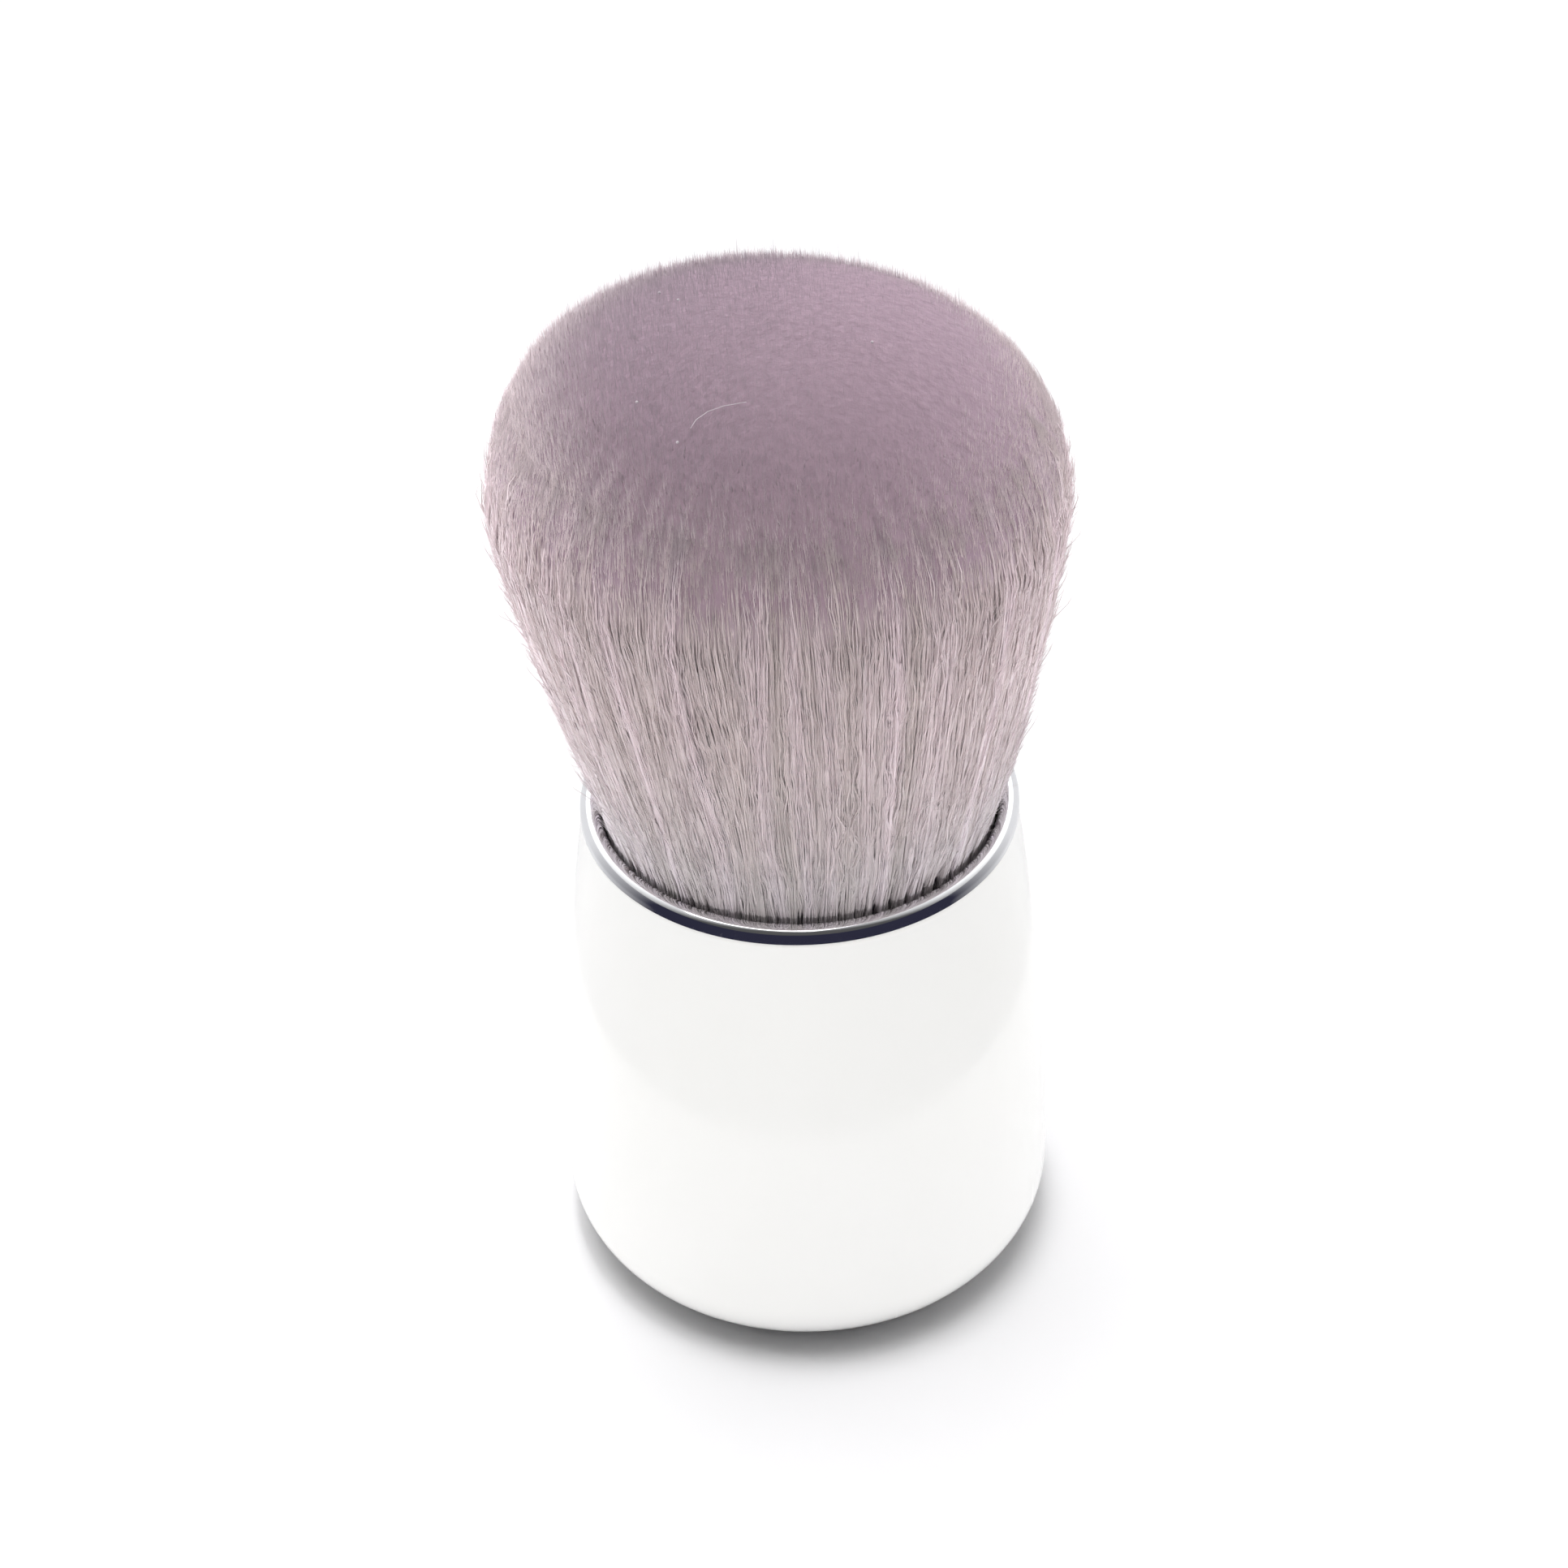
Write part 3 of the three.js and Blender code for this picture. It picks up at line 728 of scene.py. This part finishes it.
def lay_fibres(name, blank, share, angle, foot, tip, material,
               crinkle=0.0, tuck=0.0, outward=0.0, sideways=0.0, slim=1.0, painted_paleness=0.0):
    """Lays fibres between two levels above the lip.
    share: place from the axis (0) to the outside (1); crinkle: depth of the fine waves;
    tuck: how far the foot goes in under its neighbours; outward, sideways: how far the tip
    strays; painted_paleness: how much paler than its neighbours a fibre is painted, as painted light."""
    corner_angle, along, faces = blank
    count = len(share)
    corner_angle = corner_angle + rng.normal(0, FIBRE_TWIST, (count, 1))
    share, angle, foot, tip = (np.reshape(v, (count, 1)) for v in (share, angle, foot, tip))
    depth = (1 - share) * HEAD_RADIUS
    level = foot + along * (tip - foot)
    free = smooth_step(0, 10 * MM, level)
    at_rim = 1 - smooth_step(0, FOOT_LOCK_HEIGHT, level)
    near_side = smooth_step(4 * MM, 0, depth)

    crimp = rng.uniform(0.01, 0.07, (count, 1)) * MM * free
    crimp_turns = math.tau / (rng.uniform(4.0, 9.0, (count, 1)) * MM)
    crimp_phase = rng.uniform(0, math.tau, (2, count, 1))
    drift = BROAD_DRIFT_DEPTH * BROAD_DRIFT.at(angle, level, depth) * free * near_side
    drift += crinkle * CRINKLE.at(angle, level, depth) * smooth_step(0, 5 * MM, level)
    drift += crimp * np.sin(crimp_turns * level + crimp_phase[0])
    drift += FOOT_LOCK_DRIFT * FOOT_LOCKS.at(angle) * at_rim
    relief = RELIEF_DEPTH * RELIEF.at(angle, level, depth) * free * near_side
    relief += crimp * np.sin(crimp_turns * level + crimp_phase[1])
    relief -= FOOT_LOCK_DEPTH * np.clip(FOOT_RELIEF.at(angle), 0, 2) * at_rim
    relief += left_splay(angle, level) * near_side
    astray = smooth_step(0.4, 1.0, along)
    drift += np.reshape(sideways, (-1, 1)) * astray
    relief += np.reshape(outward, (-1, 1)) * astray
    relief -= tuck * (1 - smooth_step(0, 0.3, along))

    kept = np.where(hugging(share) > 0, bundle_share(share, level), share)
    radius = kept * bundle_radius(level) + relief - SKIN_INSET
    turn = angle + drift / np.maximum(radius, 2 * MM)
    from_tip = np.clip((tip - level) / TAPER_LENGTH, 0, 1)
    thick = slim * FIBRE_RADIUS * (TIP_RADIUS_SHARE + (1 - TIP_RADIUS_SHARE) * from_tip)
    thick = np.where(along > 0.9999, 0, thick)
    out = thick * np.cos(corner_angle)
    side = thick * np.sin(corner_angle)
    x = (radius + out) * np.cos(turn) - side * np.sin(turn)
    y = (radius + out) * np.sin(turn) + side * np.cos(turn)
    places = np.stack([lean(x, level), y, LIP_LEVEL + level], axis=-1)

    patch = HUE_PATCH_DEPTH * HUE_PATCH.at(angle, 0.0, depth) * near_side
    hue = 0.5 + patch + rng.normal(0, HUE_SPREAD, (count, 1))
    hue = np.clip(hue, 0.02, 0.96) + CHART_WIDTH * (blank[0] / math.tau + 0.5)
    below_dome = dome_level(share) - level
    # Mauve dye giving way to pale lengths; at the flanks and back this paling is painted light as well
    pale = PALE_REACH * dye_fade_and_painted_light(share, angle, level, depth)
    reach = 1 - painted_paleness - below_dome / FIBRE_LENGTH - pale + rng.normal(0, REACH_SPREAD, (count, 1))
    reach = np.clip(reach, 0.002, 0.998)
    chart = np.stack(np.broadcast_arrays(hue, reach), axis=-1)
    piece = fibre_mesh(name, places, faces, chart)
    finish_piece(piece, material, replaces=["bristle_head", "bristle_root"])


def make_long_fibres(material):
    """Whole fibres, from inside the ferrule to the shoulder, in two layers."""
    share, angle = scatter(OUTER_FIBRES, 0.975, 1.0, 1)
    tip = tip_level(share, angle, 0.9 * MM)
    foot = np.full(OUTER_FIBRES, ROOT_FACE)
    lay_fibres("outer_fibres", model_fibre_blank(9), share, angle, foot, tip, material)
    share, angle = scatter(INNER_FIBRES, 0.92, 0.98, 2)
    tip = tip_level(share, angle, 0.5 * MM)
    foot = np.full(INNER_FIBRES, ROOT_FACE)
    lay_fibres("inner_fibres", model_fibre_blank(7), share, angle, foot, tip, material)


def make_strands(material):
    """Stretches of fibre that come to the surface, wander along it and go under again."""
    blank = model_fibre_blank(8)
    for number in (1, 2, 3):
        share, angle = scatter(STRANDS, 0.988, 1.0, 10 + number)
        foot = rng.uniform(-3 * MM, 24 * MM, STRANDS)
        tip = foot + rng.uniform(7 * MM, 12 * MM, STRANDS)
        tip = np.minimum(tip, tip_level(share, angle, 0.9 * MM))
        lay_fibres(f"side_strands_{number}", blank, share, angle, foot, tip, material,
                   crinkle=0.09 * MM, tuck=0.25 * MM)


def make_dome_fibres(material):
    """Ends of the inner fibres, which make the dome's nap."""
    blank = model_fibre_blank(2)
    for number in (1, 2, 3, 4):
        share, angle = scatter(DOME_FIBRES, 0.0, 0.97, 20 + number, slip=DOME_NAP_SLIP)
        tip = tip_level(share, angle, 0.06 * MM) - 0.25 * MM * smooth_step(0.84, 0.94, share)
        foot = dome_level(share) - DOME_NAP_LENGTH
        lay_fibres(f"dome_fibres_{number}", blank, share, angle, foot, tip, material)


def make_fuzz(material):
    """Finest ends, which stand proud at the dome's edge and on the sides and soften their outline.
    At the front of the dome they are sparse. They are painted paler than the rest, most at the flanks and
    back, as painted light."""
    blank = model_fibre_blank(1)
    for number in (1, 2):
        share, angle = scatter(DOME_FUZZ, 0.6, 1.0, 30 + number)
        chance = smooth_step(0.6, 0.95, share) * (0.25 + 0.5 * away_from_front(angle))
        outer = rng.uniform(0, 1, DOME_FUZZ) < chance
        share, angle = share[outer], angle[outer]
        count = len(share)
        foot = dome_level(share) - DOME_TILT * share * HEAD_RADIUS * np.cos(angle) - FUZZ_FOOT
        tip = foot + FUZZ_FOOT + rng.uniform(0.05 * MM, 0.75 * MM, count)
        outward = rng.gamma(2.0, 0.13 * MM, count) * smooth_step(0.7, 1.0, share)
        # Painted light: all fuzz a little paler, to lift the shade it casts on itself, and paler still at
        # the flanks and back, where lamps behind would light it
        painted_paleness = 0.08 + 0.25 * away_from_front(angle) * smooth_step(0.7, 0.9, share)
        lay_fibres(f"dome_fuzz_{number}", blank, share, angle, foot, tip, material, outward=outward,
                   sideways=rng.normal(0, 0.15 * MM, count), slim=0.75, painted_paleness=painted_paleness[:, None])
    share, angle = scatter(SIDE_FUZZ, 0.99, 1.0, 33)
    foot = rng.uniform(1 * MM, 28 * MM, SIDE_FUZZ)
    tip = foot + rng.uniform(0.8 * MM, 2.0 * MM, SIDE_FUZZ)
    outward = rng.gamma(2.0, 0.18 * MM, SIDE_FUZZ)
    sideways = rng.normal(0, 0.2 * MM, SIDE_FUZZ)
    lay_fibres("side_fuzz", blank, share, angle, foot, tip, material, tuck=0.05 * MM,
               outward=outward, sideways=sideways, slim=0.9)


def make_flyaways(material):
    """Short and bent fibres that stand a little off the sides and soften the outline."""
    share, angle = scatter(FLYAWAYS, 0.985, 1.0, 5)
    tip = np.minimum(rng.uniform(6 * MM, 33 * MM, FLYAWAYS), tip_level(share, angle, 0.8 * MM))
    foot = tip - rng.uniform(4 * MM, 9 * MM, FLYAWAYS)
    outward = rng.gamma(2.0, 0.16 * MM, FLYAWAYS)
    lay_fibres("flyaway_fibres", model_fibre_blank(6), share, angle, foot, tip, material,
               crinkle=0.05 * MM, tuck=0.3 * MM, outward=outward)


def make_core(material):
    """Packed inside of the bundle, just below the fibres that show."""
    levels = np.linspace(0, WIDEST_LEVEL, CORE_STEPS)
    outline = [(0, ROOT_BOTTOM), (ROOT_RADIUS - 2 * MM, ROOT_BOTTOM)]
    outline += [(ROOT_RADIUS - 0.4 * MM, LIP_LEVEL + ROOT_FACE)]
    outline += [(float(bundle_radius(v)) - CORE_DEPTH, LIP_LEVEL + v) for v in levels]
    shares = np.cos(np.radians(np.linspace(0, 90, CORE_STEPS)))[1:]
    dome_radius = HEAD_RADIUS - CORE_DEPTH
    outline += [(dome_radius * s, LIP_LEVEL + float(dome_level(s)) - CORE_DEPTH) for s in shares]
    core = turn_on_lathe("bristle_core", outline, closed=False)
    places = np.array([v.co for v in core.data.vertices])
    places[:, 0] = lean(places[:, 0], places[:, 2] - LIP_LEVEL)
    core.data.vertices.foreach_set("co", places.astype(np.float32).ravel())
    finish_piece(core, material, replaces=["bristle_head", "bristle_root"])


def on_dome(right, back, lift):
    """Point on the leaning, tilted dome, found in a few rounds. right and back: millimetres from
    the axis; lift: metres above the dome."""
    level = HEAD_HEIGHT
    for _ in range(4):
        upright = right * MM + BUNDLE_LEAN * (level - LEAN_FOOT)
        level = float(dome_level(math.hypot(upright, back * MM) / HEAD_RADIUS)) - DOME_TILT * upright
    return Vector((right * MM, back * MM, LIP_LEVEL + level + lift))


def make_lint(material):
    """One loose pale hair and a few specks of dust that lie on the dome."""
    deselect_everything()
    path = [on_dome(*spot, LINT_LIFT) for spot in LINT_HAIR]
    bpy.ops.mesh.primitive_plane_add(size=MM, location=(0, 0, 0))
    hair = bpy.context.object
    hair.name = "lint_hair"
    bpy.ops.object.mode_set(mode="EDIT")
    bpy.ops.mesh.select_all(action="SELECT")
    bpy.ops.mesh.merge(type="CENTER")
    bpy.ops.transform.translate(value=path[0])
    for start, end in zip(path, path[1:]):
        bpy.ops.mesh.extrude_region_move(TRANSFORM_OT_translate={"value": end - start})
    bpy.ops.object.mode_set(mode="OBJECT")
    bpy.ops.object.convert(target="CURVE")
    hair.data.bevel_depth = LINT_HAIR_RADIUS
    hair.data.bevel_resolution = 2
    hair.data.use_fill_caps = True
    bpy.ops.object.convert(target="MESH")
    bpy.ops.object.shade_smooth()
    finish_piece(hair, material, body="bristles")
    deselect_everything()
    specks = []
    for spot in LINT_SPECKS:
        place = on_dome(*spot, -SPECK_SINK)
        bpy.ops.mesh.primitive_ico_sphere_add(subdivisions=2, radius=LINT_SPECK_RADIUS, location=place)
        specks.append(bpy.context.object)
    for speck in specks:
        speck.select_set(True)
    bpy.ops.object.join()
    dust = bpy.context.object
    dust.name = "lint_specks"
    bpy.ops.object.transform_apply(location=True, rotation=True, scale=True)
    bpy.ops.object.shade_smooth()
    finish_piece(dust, material, body="bristles")


def pale_lint():
    """Dusty, faintly uneven off-white."""
    material, nodes, links, surface = new_material("pale_lint")
    grain = place_group(material, MOTTLE, object_place(nodes), Scale=4000.0).outputs["Mottle"]
    dusty = mix_colour(nodes, links, grain, (0.38, 0.33, 0.355), (0.48, 0.43, 0.455))
    links.new(dusty, surface.inputs["Base Color"])
    links.new(map_range(nodes, links, grain, 0, 1, 0.7, 0.85), surface.inputs["Roughness"])
    return material


def packed_fibre():
    """Inside of the bundle, seen only between fibres: pale at the sides, mauve under the dome, and nearly
    black towards the rim as painted shade.
    """
    material, nodes, links, surface = new_material("packed_fibre")
    place = object_place(nodes)
    mapping = nodes.new("ShaderNodeMapping")
    mapping.inputs["Scale"].default_value = (1, 1, 0.04)
    links.new(place, mapping.inputs["Vector"])
    strands = place_group(material, MOTTLE, mapping.outputs["Vector"], Scale=1500.0).outputs["Mottle"]
    split = nodes.new("ShaderNodeSeparateXYZ")
    links.new(place, split.inputs["Vector"])
    shoulder = LIP_LEVEL + WIDEST_LEVEL
    topward = map_range(nodes, links, split.outputs["Z"], shoulder - 4 * MM, shoulder + 3 * MM, 0, 1)
    pale = mix_colour(nodes, links, strands, (0.56, 0.48, 0.48), (0.68, 0.59, 0.59))
    mauve = mix_colour(nodes, links, strands, (0.26, 0.185, 0.225), (0.31, 0.22, 0.265))
    # Painted shade: nearly black towards the rim, for the shade in the gap inside the ferrule
    painted_rim_shade = map_range(nodes, links, split.outputs["Z"], LIP_LEVEL + 0.5 * MM, LIP_LEVEL + 5 * MM, 1, 0)
    upper = mix_colour(nodes, links, topward, pale, mauve)
    links.new(mix_colour(nodes, links, painted_rim_shade, upper, (0.07, 0.055, 0.075)), surface.inputs["Base Color"])
    links.new(bump(nodes, links, strands, 0.1 * MM, 0.8), surface.inputs["Normal"])
    surface.inputs["Roughness"].default_value = 0.8
    return material


# Inner pieces keep their solids and get their finish here

def inner_finish(name, light, dark, roughness, metallic=0.0, scale=400.0, rings=False):
    material, nodes, links, surface = new_material(name)
    place = object_place(nodes)
    grain = place_group(material, MOTTLE, place, Scale=scale).outputs["Mottle"]
    links.new(mix_colour(nodes, links, grain, light, dark), surface.inputs["Base Color"])
    dull = map_range(nodes, links, grain, 0, 1, roughness, roughness + 0.12)
    links.new(dull, surface.inputs["Roughness"])
    if rings:
        grain = place_group(material, RINGS, place, Scale=3000.0).outputs["Rings"]
    links.new(bump(nodes, links, grain, 0.02 * MM, 0.4), surface.inputs["Normal"])
    surface.inputs["Metallic"].default_value = metallic
    return material


def dress_inner_pieces():
    """Finishes of the solids that no view shows until the brush is taken apart."""
    finishes = {
        "weight_slug": inner_finish(
            "turned_steel", (0.4, 0.41, 0.42), (0.3, 0.31, 0.32), 0.35, metallic=1.0, rings=True),
        "weight_glue": inner_finish("hot_melt", (0.82, 0.77, 0.64), (0.72, 0.66, 0.52), 0.3),
        "ferrule_bond": inner_finish("cured_adhesive", (0.74, 0.7, 0.58), (0.6, 0.56, 0.44), 0.3),
        "glue_plug": inner_finish("amber_resin", (0.62, 0.42, 0.16), (0.46, 0.28, 0.08), 0.2, scale=200.0),
        "binding_thread": inner_finish(
            "waxed_thread", (0.78, 0.74, 0.66), (0.56, 0.52, 0.45), 0.7, scale=2500.0),
    }
    for node, material in finishes.items():
        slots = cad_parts[node].data.materials
        slots.clear()
        slots.append(material)


# Stage

def make_floor():
    deselect_everything()
    bpy.ops.mesh.primitive_plane_add(size=FLOOR_SIZE, location=(0, 0, -FLOOR_DROP))
    floor = bpy.context.object
    floor.name = "floor"
    material, nodes, links, surface = new_material("pale_floor")
    grain = place_group(material, MOTTLE, object_place(nodes), Scale=30.0).outputs["Mottle"]
    pale = mix_colour(nodes, links, grain, (0.89, 0.886, 0.897), (0.905, 0.901, 0.912))
    links.new(pale, surface.inputs["Base Color"])
    surface.inputs["Roughness"].default_value = 0.6
    surface.inputs["Specular IOR Level"].default_value = 0.2
    floor.data.materials.append(material)
    return floor


def make_painted_room_reflection():
    """A painted reflection of the room, which only shows in polished surfaces: a glowing ring and wall,
    dark round the front of the stage and pale behind.
    """
    outline = [(DARK_NEAR, DARK_LIFT), (DARK_FAR, DARK_LIFT), (DARK_FAR, DARK_HEIGHT)]
    surround = turn_on_lathe("painted_room_reflection", outline, closed=False)
    material, nodes, links, _ = new_material("painted_room_reflection")
    split = nodes.new("ShaderNodeSeparateXYZ")
    heading = nodes.new("ShaderNodeVectorMath")
    heading.operation = "NORMALIZE"
    links.new(object_place(nodes), heading.inputs[0])
    links.new(heading.outputs["Vector"], split.inputs["Vector"])
    behind = map_range(nodes, links, split.outputs["Y"], -0.3, 0.5, 0, 1)
    # Painted reflection: the ring glows nearly black in front and nearly white behind, and only polished
    # surfaces see it
    glow = nodes.new("ShaderNodeEmission")
    links.new(mix_colour(nodes, links, behind, (0.03, 0.03, 0.055), (0.9, 0.9, 0.92)), glow.inputs["Color"])
    links.new(glow.outputs["Emission"], nodes["Material Output"].inputs["Surface"])
    surround.data.materials.append(material)
    surround.visible_camera = False
    surround.visible_diffuse = False
    surround.visible_transmission = False
    surround.visible_volume_scatter = False
    surround.visible_shadow = False


def add_soft_box(name, place, target, width, height, power, tint=PLAIN_LIGHT):
    lamp = bpy.data.lights.new(name, "AREA")
    lamp.shape = "RECTANGLE"
    lamp.size = width
    lamp.size_y = height
    lamp.energy = power
    lamp.color = tint
    soft_box = bpy.data.objects.new(name, lamp)
    bpy.context.scene.collection.objects.link(soft_box)
    soft_box.location = place
    aim = Vector(target) - soft_box.location
    soft_box.rotation_euler = aim.to_track_quat("-Z", "Y").to_euler()
    return soft_box


def keep_light_to(lamp, name, lit=(), flagged_off=()):
    """Lets a lamp light only some objects, or all but some, as flags do in a studio."""
    group = bpy.data.collections.new(name)
    for thing in (*lit, *flagged_off):
        group.objects.link(thing)
    for held, thing in zip(group.collection_objects, (*lit, *flagged_off)):
        held.light_linking.link_state = "EXCLUDE" if thing in flagged_off else "INCLUDE"
    lamp.light_linking.receiver_collection = group


def make_light(floor, handle):
    """Soft light from overhead, fills for the fibres in front and at the sides, three lamps behind
    that catch their edge, two washes over the floor and fills for the handle. The narrow wash throws
    the handle's shadow only. Polished surfaces mirror the overhead lamp and a bright room."""
    world = bpy.data.worlds.new("studio")
    world.use_nodes = True
    bpy.context.scene.world = world
    nodes, links = world.node_tree.nodes, world.node_tree.links
    split = nodes.new("ShaderNodeSeparateXYZ")
    links.new(nodes.new("ShaderNodeTexCoord").outputs["Generated"], split.inputs["Vector"])
    height = map_range(nodes, links, split.outputs["Z"], 0.0, 0.8, 0.7, 1.1)
    back = map_range(nodes, links, split.outputs["Y"], -0.5, 0.9, 0.1, 1.9)
    mirrored = nodes.new("ShaderNodeLightPath").outputs["Is Glossy Ray"]
    share = map_range(nodes, links, mirrored, 0, 1, 0.3, 1.0)
    room = math_node(nodes, links, "MULTIPLY", height, back)
    lit_room = math_node(nodes, links, "MULTIPLY", room, share)
    looked_at = nodes.new("ShaderNodeLightPath").outputs["Is Camera Ray"]
    backdrop = math_node(nodes, links, "MAXIMUM", lit_room, looked_at)
    links.new(backdrop, nodes["Background"].inputs["Strength"])
    nodes["Background"].inputs["Color"].default_value = (*ROOM_LIGHT, 1)

    add_soft_box("overhead", (-0.05, 0.03, 0.7), MOUTH_AIM, 0.5, 0.5, 1.65)
    fibre_fills = [
        add_soft_box("high_fill", (0, -0.3, 0.6), HEAD_AIM, 0.5, 0.3, 1.5),
        add_soft_box("front_fill", (0, -0.6, 0.07), MIDDLE_AIM, 1.4, 0.12, 2.2),
        add_soft_box("left_fill", (-0.6, 0.1, 0.2), HEAD_AIM, 0.6, 0.3, 3.05, COOL_LIGHT),
        add_soft_box("right_fill", (0.6, 0.08, 0.14), HEAD_AIM, 0.6, 0.3, 3.8, COOL_LIGHT),
    ]
    edge_lights = [
        add_soft_box("left_edge_light", (-0.5, 0.4, 0.3), HEAD_AIM, 0.3, 0.3, 5.4, COOL_LIGHT),
        add_soft_box("right_edge_light", (0.5, 0.4, 0.3), HEAD_AIM, 0.3, 0.3, 1.0, COOL_LIGHT),
        add_soft_box("back_edge_light", (0, 0.55, 0.3), DOME_AIM, 0.6, 0.15, 1.6),
    ]
    floor_wash = add_soft_box("floor_wash", (-0.05, 0.03, 0.9), FLOOR_AIM, 0.55, 0.55, 3.9)
    base_wash = add_soft_box("base_wash", (-0.02, 0.035, 0.9), FLOOR_AIM, 0.1, 0.1, 2.3)
    handle_fills = [
        add_soft_box("left_handle_fill", (-0.5, -0.3, 0.3), HANDLE_AIM, 0.6, 0.4, 2.8, WARM_LIGHT),
        add_soft_box("right_handle_fill", (0.5, -0.3, 0.3), HANDLE_AIM, 0.6, 0.4, 2.68, WARM_LIGHT),
    ]
    for lamp in (*fibre_fills, *edge_lights):
        keep_light_to(lamp, f"{lamp.name}_flags", flagged_off=[floor, handle])
    for lamp in (floor_wash, base_wash):
        keep_light_to(lamp, f"{lamp.name}_reach", lit=[floor])
    shadow_shape = bpy.data.collections.new("base_wash_shadow")
    shadow_shape.objects.link(handle)
    base_wash.light_linking.blocker_collection = shadow_shape
    for lamp in handle_fills:
        keep_light_to(lamp, f"{lamp.name}_reach", lit=[handle])
    for lamp in (*fibre_fills, *edge_lights, *handle_fills, floor_wash, base_wash):
        lamp.visible_glossy = False
    bpy.context.scene.view_settings.view_transform = "Standard"


def make_camera():
    """Stands the camera where the photograph was taken from, with the same turn and framing."""
    right = Vector((1, 0, 0))
    forward = Vector((0, math.cos(CAMERA_ELEVATION), -math.sin(CAMERA_ELEVATION)))
    up = right.cross(forward)
    place = Vector((0, 0, MOUTH_LEVEL)) - CAMERA_DISTANCE * forward
    cos, sin = math.cos(CAMERA_ROLL), math.sin(CAMERA_ROLL)
    right, up = cos * right - sin * up, sin * right + cos * up
    focal = FRAME_PIXELS / 2 / math.tan(VIEW_ANGLE / 2)
    offset_x = FRAME_PIXELS / 2 - MOUTH_PIXEL[0]
    offset_y = MOUTH_PIXEL[1] - FRAME_PIXELS / 2
    ahead = (focal * forward + offset_x * right + offset_y * up).normalized()
    right = ahead.cross(up).normalized()
    up = right.cross(ahead)
    camera = bpy.data.cameras.new("camera")
    camera.sensor_fit = "HORIZONTAL"
    camera.angle = VIEW_ANGLE
    camera.clip_start = 1 * MM
    holder = bpy.data.objects.new("camera", camera)
    bpy.context.scene.collection.objects.link(holder)
    turn = Matrix((right, up, -ahead)).transposed().to_4x4()
    holder.matrix_world = Matrix.Translation(place) @ turn
    bpy.context.scene.camera = holder


make_camera()
make_painted_room_reflection()
make_light(make_floor(), make_handle(polished_white()))
make_ferrule(bright_metal())
make_core(packed_fibre())
FIBRE = mauve_fibre()
make_long_fibres(FIBRE)
make_strands(FIBRE)
make_dome_fibres(FIBRE)
make_fuzz(FIBRE)
make_flyaways(FIBRE)
make_lint(pale_lint())
dress_inner_pieces()
